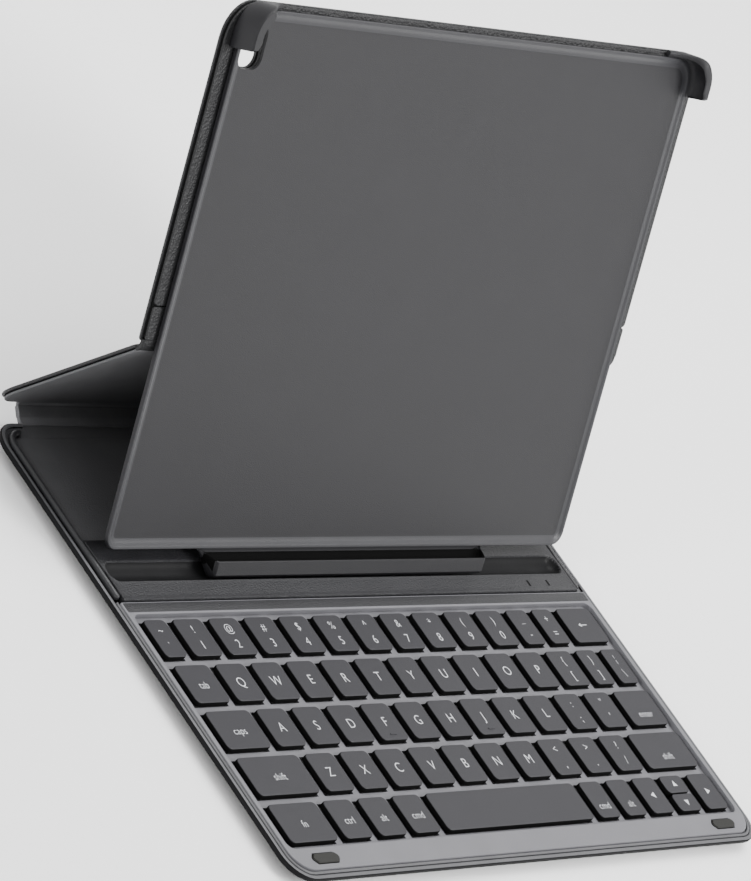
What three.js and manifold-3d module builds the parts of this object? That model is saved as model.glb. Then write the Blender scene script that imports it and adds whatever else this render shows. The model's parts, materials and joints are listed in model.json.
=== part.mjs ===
// Tablet keyboard case, standing open in its typing position.
// Millimetres. +X to the right, +Y away from the typist, +Z up.
// Origin: middle of the flat underside of the keyboard base.

import * as THREE from 'three';
import { mergeVertices } from 'three/addons/utils/BufferGeometryUtils.js';
import Module from 'manifold-3d';

const wasm = await Module();
wasm.setup();

// ---------------------------------------------------------------- driving dimensions

const GAP = 0.3;                  // clearance between neighbouring solids

const BASE_W = 260.6;             // keyboard base, across
const BASE_D = 181;               // keyboard base, front to back
const BASE_CORNER = 10.5;         // corner radius of the outer cover
const COVER_FLOOR = 1.2;          // thickness of the cover under the base
const EDGE_TOP = 4.9;             // top of the flat flange round the base
const EDGE_BOTTOM = 3.1;          // bottom of the cover's thin outer edge
const EDGE_W = 2.9;               // width of that flange
const UNDERCUT = 6.5;             // how far the underside slopes in from the edge

const DECK_TOP = 5.6;             // top of the keyboard frame, level with the key tops
const DECK_BOTTOM = 2.6;
const DECK_W = 254.2;
const DECK_FRONT = -87.3;
const DECK_CORNER = 8.5;
const DECK_TAPER = 2.9;           // how far the frame's underside slopes in
const DECK_EDGE_BOTTOM = 4.2;
const SEAM_Y = 17.4;              // seam between the keyboard frame and the platform
const WELL_HALF_W = 125.2;        // recess that the keys stand in
const WELL_FRONT = -79;
const WELL_BACK = 12.2;
const WELL_CORNER = 3;
const WEB_TOP = 3.6;              // top of the webs between the key openings

const PITCH = 18.03;              // key pitch, across
const ROW_PITCH = 18.05;          // key pitch, front to back
const KEY_GAP = 3.7;              // gap between neighbouring key tops
const KEY_D = 14.8;               // key depth, front to back
const KEY_H = 1.8;                // height of a keycap
const KEY_CORNER = 1.9;
const KEY_OPENING = 0.25;         // clearance around a key in its opening
const FIELD_HALF_W = 122.2;       // half the width of the whole key field
const FIRST_ROW_Y = 2.55;         // middle of the number row

const PLATFORM_BACK = 42;         // back edge of the raised platform
const PLATFORM_BOTTOM = 2.2;
const PLATFORM_HALF_W = 124.4;
const TROUGH_FRONT = 25.1;        // long rounded groove that the tray stands in
const TROUGH_BACK = 33.2;
const TROUGH_HALF_W = 123.3;
const TROUGH_DEPTH = 2.6;

const LINING_TOP = 4.2;           // flat lining behind the platform
const LINING_T = 0.6;
const PIPING_X = 125.9;           // raised piping along both sides, round the rear corners
const PIPING_D = 2.2;
const PIPING_Z = 4.75;
const PIPING_CORNER = 6.2;

const HINGE_BASE = { y: 91.4, z: 3.9 };       // fold between base and spine
const HINGE_FLAP = { y: 97.1, z: 7.6 };       // fold between spine and lower flap
const HINGE_TRAY = { y: 69.2, z: 63.7 };     // fold between lower flap and upper cover

const TRAY_ANGLE = THREE.MathUtils.degToRad(59.6);   // lean of the tablet tray
const TRAY_W = 249;
const TRAY_H = 171.7;
const TRAY_BELOW_FOLD = 64.1;     // tray length below the fold
const LIP_FRONT = 2.9;            // height of the tray's lip above the fold plane
const LIP_H = 0.8;
const LIP_W = 1.5;
const TRAY_FLOOR_T = 0.9;
const TRAY_CORNER = 5;
const TOP_CORNER = 10;
const TABLET_T = 7.5;             // thickness of the tablet that the clips hold
const CLIP_HALF_W = 127;          // outer sides of the corner clips
const CLIP_TOP = 2.3;             // how far the clips stand above the tray's top edge
const CLIP_REACH = 15.3;
const CLIP_WALL = 1.5;

const PANEL_HALF_W = 130;         // lower flap and upper cover, half width
const PANEL_T = 2.25;             // thickness of the lower flap
const PANEL_BACK = -1.25;         // its outer face, behind the fold plane
const SPINE_HALF_W = 115;

// ---------------------------------------------------------------- materials

function material(color, roughness, metalness = 0) {
  return new THREE.MeshStandardMaterial({ color, roughness, metalness });
}

const MATERIALS = {
  leather: () => material(0x303033, 0.6),
  lining: () => material(0x26262a, 0.8),
  board: () => material(0x6b6257, 0.9),
  deck: () => material(0x8d8c92, 0.5),
  keycap: () => material(0x5f5e63, 0.55),
  tray: () => material(0x55555a, 0.55),
  rubber: () => material(0x2e2e2c, 0.8),
  membrane: () => material(0xc9c6bb, 0.5),
  cell: () => material(0xb9bcc0, 0.4, 0.6),
  circuit: () => material(0x1f4a35, 0.5),
  steel: () => material(0xa9abae, 0.35, 1),
  lens: () => material(0x17181a, 0.2),
};

// ---------------------------------------------------------------- solids

function weld(geometry) {
  const bare = geometry.clone();
  bare.deleteAttribute('normal');
  bare.deleteAttribute('uv');
  const flat = bare.index ? bare.toNonIndexed() : bare;
  return mergeVertices(flat, 1e-4);
}

function solid(geometry) {
  const welded = weld(geometry);
  return new wasm.Manifold(new wasm.Mesh({
    numProp: 3,
    vertProperties: new Float32Array(welded.attributes.position.array),
    triVerts: new Uint32Array(welded.index.array),
  }));
}

function toGeometry(manifold) {
  const mesh = manifold.getMesh();
  const geometry = new THREE.BufferGeometry();
  geometry.setAttribute('position', new THREE.BufferAttribute(new Float32Array(mesh.vertProperties), 3));
  geometry.setIndex(new THREE.BufferAttribute(new Uint32Array(mesh.triVerts), 1));
  geometry.computeVertexNormals();
  return geometry;
}

// Box between two corners.
function box(x0, x1, y0, y1, z0, z1) {
  const geometry = new THREE.BoxGeometry(x1 - x0, y1 - y0, z1 - z0);
  geometry.translate((x0 + x1) / 2, (y0 + y1) / 2, (z0 + z1) / 2);
  return geometry;
}

// Rectangle with its own radius at the front corners and at the back corners.
function roundedRectangle(x0, x1, y0, y1, frontRadius, backRadius = frontRadius) {
  const shape = new THREE.Shape();
  shape.moveTo(x0 + frontRadius, y0);
  shape.lineTo(x1 - frontRadius, y0);
  if (frontRadius > 0) shape.absarc(x1 - frontRadius, y0 + frontRadius, frontRadius, -Math.PI / 2, 0);
  shape.lineTo(x1, y1 - backRadius);
  if (backRadius > 0) shape.absarc(x1 - backRadius, y1 - backRadius, backRadius, 0, Math.PI / 2);
  shape.lineTo(x0 + backRadius, y1);
  if (backRadius > 0) shape.absarc(x0 + backRadius, y1 - backRadius, backRadius, Math.PI / 2, Math.PI);
  shape.lineTo(x0, y0 + frontRadius);
  if (frontRadius > 0) shape.absarc(x0 + frontRadius, y0 + frontRadius, frontRadius, Math.PI, Math.PI * 1.5);
  return shape;
}

// Flat plate of an outline in X and Y, from z0 to z1.
function plate(shape, z0, z1, curveSegments = 4) {
  const geometry = new THREE.ExtrudeGeometry(shape, { depth: z1 - z0, bevelEnabled: false, curveSegments });
  geometry.translate(0, 0, z0);
  return geometry;
}

// Solid that narrows downwards: a wide plate from z1 to z2 over a narrow foot at z0.
function tapered(wide, foot, z0, z1, z2) {
  return wasm.Manifold.hull([solid(plate(wide, z1, z2)), solid(plate(foot, z0, z0 + 0.05))]);
}

// Straight bar along X whose outline is drawn in Y and Z.
function barAlongX(shape, x0, x1, curveSegments = 6) {
  const geometry = new THREE.ExtrudeGeometry(shape, { depth: x1 - x0, bevelEnabled: false, curveSegments });
  const drawnToWorld = new THREE.Matrix4().set(
    0, 0, 1, x0,
    1, 0, 0, 0,
    0, 1, 0, 0,
    0, 0, 0, 1,
  );
  geometry.applyMatrix4(drawnToWorld);
  return geometry;
}

function circleShape(y, z, radius) {
  const shape = new THREE.Shape();
  shape.absarc(y, z, radius, 0, Math.PI * 2);
  return shape;
}

function part(parent, name, geometry, slot) {
  const mesh = new THREE.Mesh(geometry, MATERIALS[slot]());
  mesh.name = name;
  parent.add(mesh);
}

// ---------------------------------------------------------------- keyboard base

function addBaseCover(base) {
  const halfW = BASE_W / 2;
  const halfD = BASE_D / 2;
  const outline = (inset) => roundedRectangle(
    -halfW + inset, halfW - inset, -halfD + inset, halfD - inset, Math.max(BASE_CORNER - inset, 3),
  );
  const body = tapered(outline(0), outline(UNDERCUT), 0, EDGE_BOTTOM, EDGE_TOP);
  const cavity = tapered(outline(EDGE_W), outline(UNDERCUT + EDGE_W / 2), COVER_FLOOR, EDGE_TOP - 0.8, EDGE_TOP + 1);
  const rearNotch = solid(box(
    -SPINE_HALF_W - GAP, SPINE_HALF_W + GAP, halfD - EDGE_W - 1, halfD + 1, LINING_TOP - LINING_T - GAP, EDGE_TOP + 1,
  ));
  const port = solid(box(
    SOCKET.x0 - 1, halfW + 1, SOCKET.y0 - GAP, SOCKET.y1 + GAP, SOCKET.z0 - GAP, SOCKET.z1 + GAP,
  ));
  const pan = body.subtract(cavity).subtract(rearNotch).subtract(port);
  part(base, 'base_cover', toGeometry(pan), 'leather');
}

function addBaseBoard(base) {
  const outline = roundedRectangle(-120, 120, -80, 80, 6);
  part(base, 'base_board', plate(outline, COVER_FLOOR + 0.2, COVER_FLOOR + 0.6, 2), 'steel');
}

function addKeyMembrane(base) {
  part(base, 'key_membrane', box(-122, 122, -78.5, 12, COVER_FLOOR + 0.8, 2.25), 'membrane');
}

// One row of the layout: where it starts and the keys from left to right.
// An entry is [name, left edge, right edge]. Letters and digits follow the pitch.
function pitchKeys(names, firstCentre) {
  const halfW = (PITCH - KEY_GAP) / 2;
  return names.map((name, i) => [name, firstCentre + i * PITCH - halfW, firstCentre + i * PITCH + halfW]);
}

const DIGIT_X = -100.7;           // centre of the key 1
const TOP_LETTER_X = -94.5;       // centre of the key Q
const HOME_LETTER_X = -89.5;      // centre of the key A
const LOW_LETTER_X = -80.56;      // centre of the key Z

// Keys that share one moving body are listed together, and are joined by a thin strip.
const KEY_ROWS = [
  [
    {
      body: 'number_row_keys',
      keys: [
        ['grave', -FIELD_HALF_W, -111.55],
        ...pitchKeys([...'1234567890'], DIGIT_X),
        ['minus', 72.4, 84], ['equals', 87.7, 98.8], ['backspace', 102.5, FIELD_HALF_W],
      ],
    },
  ],
  [
    { body: 'tab_key', keys: [['tab', -FIELD_HALF_W, -105.35]] },
    ...pitchKeys([...'qwertyuiop'], TOP_LETTER_X).map((key) => ({ body: `key_${key[0]}`, keys: [key] })),
    { body: 'bracket_keys', keys: [['open', 78.6, 92.9], ['close', 96.6, 107.9], ['slash', 111.6, FIELD_HALF_W]] },
  ],
  [
    { body: 'caps_key', keys: [['caps', -FIELD_HALF_W, -100.35]] },
    ...pitchKeys([...'asdfghjkl'], HOME_LETTER_X).map((key) => ({ body: `key_${key[0]}`, keys: [key] })),
    { body: 'enter_keys', keys: [['semicolon', 65.65, 79.95], ['quote', 83.65, 97.95], ['enter', 101.65, FIELD_HALF_W]] },
  ],
  [
    { body: 'left_shift_key', keys: [['shift', -FIELD_HALF_W, -91.4]] },
    ...pitchKeys([...'zxcvbnm'], LOW_LETTER_X).map((key) => ({ body: `key_${key[0]}`, keys: [key] })),
    {
      body: 'right_shift_keys',
      keys: [
        ...pitchKeys(['comma', 'period', 'slash'], LOW_LETTER_X + 7 * PITCH),
        ['shift', 92.56, FIELD_HALF_W],
      ],
    },
  ],
  [
    {
      body: 'modifier_keys',
      keys: [
        ['function', -FIELD_HALF_W, -98.3], ['control', -94.6, -80.3],
        ['option', -76.6, -62.3], ['command', -58.6, -44.3],
      ],
    },
    { body: 'space_bar', keys: [['space', -40.6, 41.5]] },
    {
      body: 'arrow_keys',
      keys: [
        ['command', 45.2, 57.2], ['option', 60.9, 72.8], ['left', 76.5, 89.3],
        ['up_down', 93, 106], ['right', 109.7, FIELD_HALF_W],
      ],
    },
  ],
];

function rowY(row) {
  return FIRST_ROW_Y - row * ROW_PITCH;
}

function keySolid([, x0, x1], y) {
  const outline = roundedRectangle(x0, x1, y - KEY_D / 2, y + KEY_D / 2, KEY_CORNER);
  return solid(plate(outline, DECK_TOP - KEY_H, DECK_TOP, 2));
}

// Keys of one body, joined at their middle by a strip 1 mm wide.
function keyBodySolid(keys, y) {
  let joined = keySolid(keys[0], y);
  for (let i = 1; i < keys.length; i += 1) {
    const strip = box(keys[i - 1][2] - 1, keys[i][1] + 1, y - 0.5, y + 0.5, DECK_TOP - KEY_H, DECK_TOP - KEY_H + 0.8);
    joined = joined.add(keySolid(keys[i], y)).add(solid(strip));
  }
  return joined;
}

function addKeys(base) {
  KEY_ROWS.forEach((row, index) => {
    row.forEach(({ body, keys }) => {
      part(base, body, toGeometry(keyBodySolid(keys, rowY(index))), 'keycap');
    });
  });
}

const BUMPER_X = 111.3;
const BUMPER_Y = -83.4;
const BUMPER_W = 13.5;
const BUMPER_D = 4.2;

function bumperOutline(x, grow) {
  const halfW = BUMPER_W / 2 + grow;
  const halfD = BUMPER_D / 2 + grow;
  return roundedRectangle(x - halfW, x + halfW, BUMPER_Y - halfD, BUMPER_Y + halfD, halfD - 0.3);
}

function addKeyboardFrame(base) {
  const halfW = DECK_W / 2;
  const outline = (inset) => roundedRectangle(
    -halfW + inset, halfW - inset, DECK_FRONT + inset, SEAM_Y, DECK_CORNER - inset, 1.5,
  );
  let frame = tapered(outline(0), outline(DECK_TAPER), DECK_BOTTOM, DECK_EDGE_BOTTOM, DECK_TOP);
  const well = roundedRectangle(-WELL_HALF_W, WELL_HALF_W, WELL_FRONT, WELL_BACK, WELL_CORNER);
  frame = frame.subtract(solid(plate(well, WEB_TOP, DECK_TOP + 1, 3)));
  KEY_ROWS.forEach((row, index) => {
    const y0 = rowY(index) - KEY_D / 2 - KEY_OPENING;
    const y1 = rowY(index) + KEY_D / 2 + KEY_OPENING;
    row.forEach(({ keys }) => {
      const x0 = keys[0][1] - KEY_OPENING;
      const x1 = keys[keys.length - 1][2] + KEY_OPENING;
      frame = frame.subtract(solid(box(x0, x1, y0, y1, DECK_BOTTOM - 1, WEB_TOP + 1)));
    });
  });
  for (const side of [-1, 1]) {
    const pocket = bumperOutline(side * BUMPER_X, 0.2);
    frame = frame.subtract(solid(plate(pocket, DECK_TOP - 1.1, DECK_TOP + 1, 2)));
  }
  part(base, 'keyboard_frame', toGeometry(frame), 'deck');
}

function addBumpers(base) {
  for (const [side, name] of [[-1, 'screen_bumper_left'], [1, 'screen_bumper_right']]) {
    const outline = bumperOutline(side * BUMPER_X, 0);
    part(base, name, plate(outline, DECK_TOP - 0.9, DECK_TOP + 0.5, 2), 'rubber');
  }
}

const LENS_Y = 21.3;
const LENS_W = 1;
const LENS_D = 2.4;
const LENS_X = [97.9, 109.3];
const MAGNET = { halfW: 75, y0: 19.2, y1: 23.4, z0: 2.4, z1: 4.2 };

function lensOutline(x, grow) {
  const halfW = LENS_W / 2 + grow;
  const halfD = LENS_D / 2 + grow;
  return roundedRectangle(x - halfW, x + halfW, LENS_Y - halfD, LENS_Y + halfD, 0.4);
}

function addPlatform(base) {
  const outline = (inset) => roundedRectangle(
    -PLATFORM_HALF_W + inset, PLATFORM_HALF_W - inset, SEAM_Y + 0.8, PLATFORM_BACK, 1.2,
  );
  let platform = tapered(outline(0), outline(1.2), PLATFORM_BOTTOM, 3.4, DECK_TOP);

  const half = (TROUGH_BACK - TROUGH_FRONT) / 2;
  const radius = (half * half + TROUGH_DEPTH * TROUGH_DEPTH) / (2 * TROUGH_DEPTH);
  const reach = TROUGH_HALF_W - half;
  const groove = new THREE.CapsuleGeometry(radius, 2 * reach, 10, 40);
  groove.rotateZ(Math.PI / 2);
  groove.translate(0, (TROUGH_FRONT + TROUGH_BACK) / 2, DECK_TOP - TROUGH_DEPTH + radius);
  platform = platform.subtract(solid(groove));

  const guideRoom = box(LENS_X[0] - LENS_W / 2 - GAP, LENS_X[1] + LENS_W / 2 + GAP, LENS_Y - 1.6,
    LENS_Y + 1.6, PLATFORM_BOTTOM - 1, DECK_TOP - 1);
  platform = platform.subtract(solid(guideRoom));
  for (const x of LENS_X) {
    platform = platform.subtract(solid(plate(lensOutline(x, 0.2), DECK_TOP - 2, DECK_TOP + 1, 2)));
  }
  const pocket = box(-MAGNET.halfW - GAP, MAGNET.halfW + GAP, MAGNET.y0 - GAP, MAGNET.y1 + GAP,
    PLATFORM_BOTTOM - 1, MAGNET.z1 + GAP);
  platform = platform.subtract(solid(pocket));
  part(base, 'platform', toGeometry(platform), 'leather');

  // Light guide: a bar under the platform with one window standing up through each slot.
  let guide = solid(box(LENS_X[0] - LENS_W / 2, LENS_X[1] + LENS_W / 2, LENS_Y - 1.2, LENS_Y + 1.2,
    DECK_TOP - 2.4, DECK_TOP - 1 - GAP));
  for (const x of LENS_X) {
    guide = guide.add(solid(plate(lensOutline(x, 0), DECK_TOP - 2, DECK_TOP - 0.1, 2)));
  }
  part(base, 'indicator_light_guide', toGeometry(guide), 'lens');
  part(base, 'dock_magnet', box(-MAGNET.halfW, MAGNET.halfW, MAGNET.y0, MAGNET.y1, MAGNET.z0, MAGNET.z1), 'steel');
}

// Path of the piping on one side: straight back, then round the rear corner.
class PipingPath extends THREE.Curve {
  constructor(side) {
    super();
    this.side = side;
    this.straight = PIPING_END_Y - PIPING_START_Y;
    this.arc = PIPING_CORNER * Math.PI / 2;
  }

  getPoint(t) {
    const along = t * (this.straight + this.arc);
    if (along <= this.straight) {
      return new THREE.Vector3(this.side * PIPING_X, PIPING_START_Y + along, PIPING_Z);
    }
    const turn = (along - this.straight) / PIPING_CORNER;
    const x = PIPING_X - PIPING_CORNER + PIPING_CORNER * Math.cos(turn);
    return new THREE.Vector3(this.side * x, PIPING_END_Y + PIPING_CORNER * Math.sin(turn), PIPING_Z);
  }
}

const PIPING_START_Y = SEAM_Y + 1.6;
const PIPING_END_Y = 80;
const PIPING_STEPS = 40;
const PIPING_SIDES = 10;

function addRearLining(base) {
  const edge = PIPING_X - PIPING_D / 2 - GAP;
  const back = PIPING_END_Y + PIPING_CORNER - PIPING_D / 2 - GAP;
  const outline = roundedRectangle(-edge, edge, PLATFORM_BACK + 0.4, back, 1, PIPING_CORNER - 1);
  const tongue = box(-SPINE_HALF_W, SPINE_HALF_W, back - 1, HINGE_BASE.y - 1.5, LINING_TOP - LINING_T, LINING_TOP);
  const lining = solid(plate(outline, LINING_TOP - LINING_T, LINING_TOP, 3)).add(solid(tongue));
  part(base, 'rear_lining', toGeometry(lining), 'lining');
  for (const [side, name] of [[-1, 'side_piping_left'], [1, 'side_piping_right']]) {
    const tube = new THREE.TubeGeometry(new PipingPath(side), PIPING_STEPS, PIPING_D / 2, PIPING_SIDES, false);
    part(base, name, toGeometry(cappedTube(tube, PIPING_STEPS, PIPING_SIDES)), 'leather');
  }
}

// Closed solid from an open tube, with a flat cap at each end.
function cappedTube(tube, steps, sides) {
  const rings = tube.attributes.position;
  const vertices = [];
  const faces = [];
  for (let i = 0; i <= steps; i += 1) {
    for (let k = 0; k < sides; k += 1) {
      const at = i * (sides + 1) + k;
      vertices.push(rings.getX(at), rings.getY(at), rings.getZ(at));
    }
  }
  const index = (i, k) => i * sides + (k % sides);
  for (let i = 0; i < steps; i += 1) {
    for (let k = 0; k < sides; k += 1) {
      faces.push(index(i, k), index(i + 1, k), index(i, k + 1));
      faces.push(index(i, k + 1), index(i + 1, k), index(i + 1, k + 1));
    }
  }
  for (let k = 1; k < sides - 1; k += 1) {
    faces.push(index(0, 0), index(0, k), index(0, k + 1));
    faces.push(index(steps, 0), index(steps, k + 1), index(steps, k));
  }
  const build = (triangles) => new wasm.Manifold(new wasm.Mesh({
    numProp: 3,
    vertProperties: new Float32Array(vertices),
    triVerts: new Uint32Array(triangles),
  }));
  const tubeSolid = build(faces);
  return tubeSolid.volume() > 0 ? tubeSolid : build(faces.slice().reverse());
}

const SOCKET = { x0: 120.4, x1: 129, y0: 52.2, y1: 60.8, z0: 1.5, z1: 3.3, wall: 0.3 };
const BATTERY = { x0: -55, x1: 40, y0: 48, y1: 78, h: 1.3 };
const CIRCUIT = { x0: 60, x1: 116, y0: 46, y1: 78, h: 0.7 };

function addElectronics(base) {
  const floor = COVER_FLOOR + 0.8;
  const { x0, x1, y0, y1, z0, z1, wall } = SOCKET;
  part(base, 'battery', box(BATTERY.x0, BATTERY.x1, BATTERY.y0, BATTERY.y1, floor, floor + BATTERY.h), 'cell');
  const board = roundedRectangle(CIRCUIT.x0, CIRCUIT.x1, CIRCUIT.y0, CIRCUIT.y1, 1);
  part(base, 'circuit_board', plate(board, floor, floor + CIRCUIT.h, 1), 'circuit');
  const shell = solid(box(x0, x1, y0, y1, z0, z1));
  const mouth = solid(box(x0 + 2.5, x1 + 1, y0 + wall, y1 - wall, z0 + wall, z1 - wall));
  part(base, 'charging_socket', toGeometry(shell.subtract(mouth)), 'steel');
}

// ---------------------------------------------------------------- folding back

// Group at a fold, turned so that its +Y runs along the panel and +Z is the panel's inner side.
function foldGroup(root, hinge, angle) {
  const group = new THREE.Group();
  group.position.set(0, hinge.y, hinge.z);
  group.rotation.x = angle;
  root.add(group);
  return group;
}

function angleBetween(from, to) {
  return Math.atan2(to.z - from.z, to.y - from.y);
}

function distanceBetween(from, to) {
  return Math.hypot(to.y - from.y, to.z - from.z);
}

// Outer leather, inner board or lining: three layers of one panel.
const LAYERS = {
  outer: [PANEL_BACK, PANEL_BACK + 0.9],
  board: [PANEL_BACK + 1.05, PANEL_BACK + 1.6],
  inner: [PANEL_BACK + 1.75, PANEL_BACK + PANEL_T],
};
const BOARD_INSET = 2.8;
const INNER_INSET = 2.1;

function addSpine(root) {
  const spine = foldGroup(root, HINGE_BASE, angleBetween(HINGE_BASE, HINGE_FLAP));
  const length = distanceBetween(HINGE_BASE, HINGE_FLAP);
  const outline = roundedRectangle(-SPINE_HALF_W, SPINE_HALF_W, 1.5, length - 1.5, 0.8);
  part(spine, 'spine_strip', plate(outline, -0.8, 0.8, 2), 'leather');
}

function addFlap(root) {
  const flap = foldGroup(root, HINGE_FLAP, angleBetween(HINGE_FLAP, HINGE_TRAY));
  const length = distanceBetween(HINGE_FLAP, HINGE_TRAY);
  const outline = (inset, back) => roundedRectangle(
    -PANEL_HALF_W + inset, PANEL_HALF_W - inset, 1.5 + inset / 2, back - inset / 2, BASE_CORNER - inset, 1.5,
  );
  part(flap, 'flap_cover', plate(outline(0, length - 1.5), ...LAYERS.outer), 'leather');
  part(flap, 'flap_board', plate(outline(BOARD_INSET, length - 1.5), ...LAYERS.board, 2), 'board');
  part(flap, 'flap_lining', plate(outline(INNER_INSET, length - 1.5), ...LAYERS.inner), 'lining');
}

// Camera opening, a rounded oblong beside the top left corner of the tray.
const CAMERA = { x: -116.6, y: 159.9, halfW: 5.9, halfD: 7.2, radius: 5 };

// Heights in the tray group: 0 is the fold plane, LIP_FRONT is the front of the tray's lip.
const COVER_OUTER = [-1.5, -0.6];
const COVER_BOARD = [-0.4, 0.2];
const COVER_INNER = [0.4, 1];
const TRAY_BACK = LIP_FRONT - LIP_H - TRAY_FLOOR_T;
const TRAY_FLOOR = LIP_FRONT - LIP_H;
const COVER_TOP = 1.9;            // how far the upper cover stands above the tray's top edge
const COVER_CORNER = 12.5;
const INNER_START = 13.3;         // the inner leather starts this far above the fold
const FOLD_STRIP = [0, 0.9];

function cameraOpening(z0, z1, grow = 0) {
  const y = CAMERA.y - TRAY_BELOW_FOLD;
  const outline = roundedRectangle(
    CAMERA.x - CAMERA.halfW - grow, CAMERA.x + CAMERA.halfW + grow,
    y - CAMERA.halfD - grow, y + CAMERA.halfD + grow, CAMERA.radius + grow,
  );
  return solid(plate(outline, z0, z1, 3));
}

function addUpperCover(tray) {
  const top = TRAY_H - TRAY_BELOW_FOLD + COVER_TOP;
  const layer = (name, slot, { inset, bottom, slab, grow }) => {
    const outline = roundedRectangle(
      -PANEL_HALF_W + inset, PANEL_HALF_W - inset, bottom, top - inset / 2, 2, COVER_CORNER - inset,
    );
    const sheet = solid(plate(outline, ...slab)).subtract(cameraOpening(-5, 5, grow));
    part(tray, name, toGeometry(sheet), slot);
  };
  layer('upper_cover', 'leather', { inset: 0, bottom: 1.5, slab: COVER_OUTER, grow: 0 });
  layer('upper_board', 'board', { inset: BOARD_INSET, bottom: INNER_START, slab: COVER_BOARD, grow: 1 });
  layer('upper_lining', 'leather', { inset: INNER_INSET, bottom: INNER_START, slab: COVER_INNER, grow: 0 });
}

function addFoldStrip(tray) {
  const halfW = PANEL_HALF_W - 0.6;
  const outline = roundedRectangle(-halfW, halfW, 1.8, INNER_START - GAP, 1);
  part(tray, 'fold_strip', plate(outline, ...FOLD_STRIP, 2), 'leather');
}

// Section of the ledge under the tray, from the tray's edge round a channel to the front bar.
// The first number runs up the tray from its bottom edge, the second stands forward of its lip.
const LEDGE_HALF_W = 72.7;
const LEDGE_ARM_W = 4.8;
const LEDGE_SECTION = [
  [1, -1.7], [-1.2, -1.7], [-5.2, 0.6], [-8, 2], [-8.4, 3], [-7.6, 5], [-7, 5.8],
  [-2.3, 5.8], [-2.3, 4.4], [-3.9, 3.6], [-3.6, 1.2], [-1.6, -0.4], [0, 0], [1, 0],
];
const LEDGE_ARM_SECTION = [
  [1, -1.7], [-1.2, -1.7], [-5.2, 0.6], [-7, 2.4], [-6.4, 4.4], [-2.3, 4.4], [-1.5, 2], [0, 0], [1, 0],
];

function ledgeSolid(section, x0, x1, bottom) {
  const points = section.map(([up, forward]) => new THREE.Vector2(bottom + up, LIP_FRONT + forward));
  return solid(barAlongX(new THREE.Shape(points), x0, x1));
}

// Corner clip: a quarter ring that wraps the tablet's corner and laps over its front.
function cornerClip(side, top) {
  const front = TRAY_FLOOR + TABLET_T;
  const far = 60;
  const ring = (inset, radius) => roundedRectangle(
    CLIP_HALF_W - far - inset, CLIP_HALF_W - inset, top - far - inset, top - inset, 1, radius,
  );
  const room = solid(plate(ring(CLIP_WALL, TOP_CORNER - CLIP_WALL), TRAY_FLOOR, front));
  const lap = solid(plate(ring(CLIP_WALL + 0.7, TOP_CORNER + 3), front - 1, front + 2));
  const reach = box(CLIP_HALF_W - CLIP_REACH, CLIP_HALF_W + 1, top - CLIP_REACH, top + 1, TRAY_BACK, front + 1);
  const block = solid(plate(ring(0, TOP_CORNER), TRAY_BACK, front + 1)).intersect(solid(reach));
  const clip = block.subtract(room).subtract(lap);
  return side > 0 ? clip : clip.mirror([1, 0, 0]);
}

function addTray(tray) {
  const bottom = -TRAY_BELOW_FOLD;
  const top = bottom + TRAY_H;
  const halfW = TRAY_W / 2;
  const outline = (inset) => roundedRectangle(
    -halfW + inset, halfW - inset, bottom + inset, top - inset, TRAY_CORNER - inset, TOP_CORNER - 0.6 - inset,
  );
  let body = solid(plate(outline(0), TRAY_BACK, LIP_FRONT));
  body = body.subtract(solid(plate(outline(LIP_W), TRAY_FLOOR, LIP_FRONT + 1)));
  body = body.add(ledgeSolid(LEDGE_SECTION, -LEDGE_HALF_W, LEDGE_HALF_W, bottom));
  for (const side of [-1, 1]) {
    const inner = side * (LEDGE_HALF_W - 0.5);
    const outer = side * (LEDGE_HALF_W + LEDGE_ARM_W);
    body = body.add(ledgeSolid(LEDGE_ARM_SECTION, Math.min(inner, outer), Math.max(inner, outer), bottom));
    body = body.add(cornerClip(side, top + CLIP_TOP));
  }
  body = body.subtract(cameraOpening(TRAY_BACK - 1, LIP_FRONT + 1));
  part(tray, 'tablet_tray', toGeometry(body), 'tray');
}

// ---------------------------------------------------------------- assembly

const root = new THREE.Group();

const base = new THREE.Group();
root.add(base);
addBaseCover(base);
addBaseBoard(base);
addKeyMembrane(base);
addKeyboardFrame(base);
addKeys(base);
addBumpers(base);
addPlatform(base);
addRearLining(base);
addElectronics(base);

addSpine(root);
addFlap(root);

const tray = foldGroup(root, HINGE_TRAY, TRAY_ANGLE);
addUpperCover(tray);
addFoldStrip(tray);
addTray(tray);

export default root;
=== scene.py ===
"""Tablet keyboard case, dressed over its CAD frame.

Sizes are in millimetres. X runs across the case, Y from its front edge to its back and Z up. The flap,
the upper cover and the tray are drawn flat, in frames of their own that start at their folds.
"""
import json
import math

import bmesh
import bpy
from mathutils import Matrix, Vector


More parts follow.
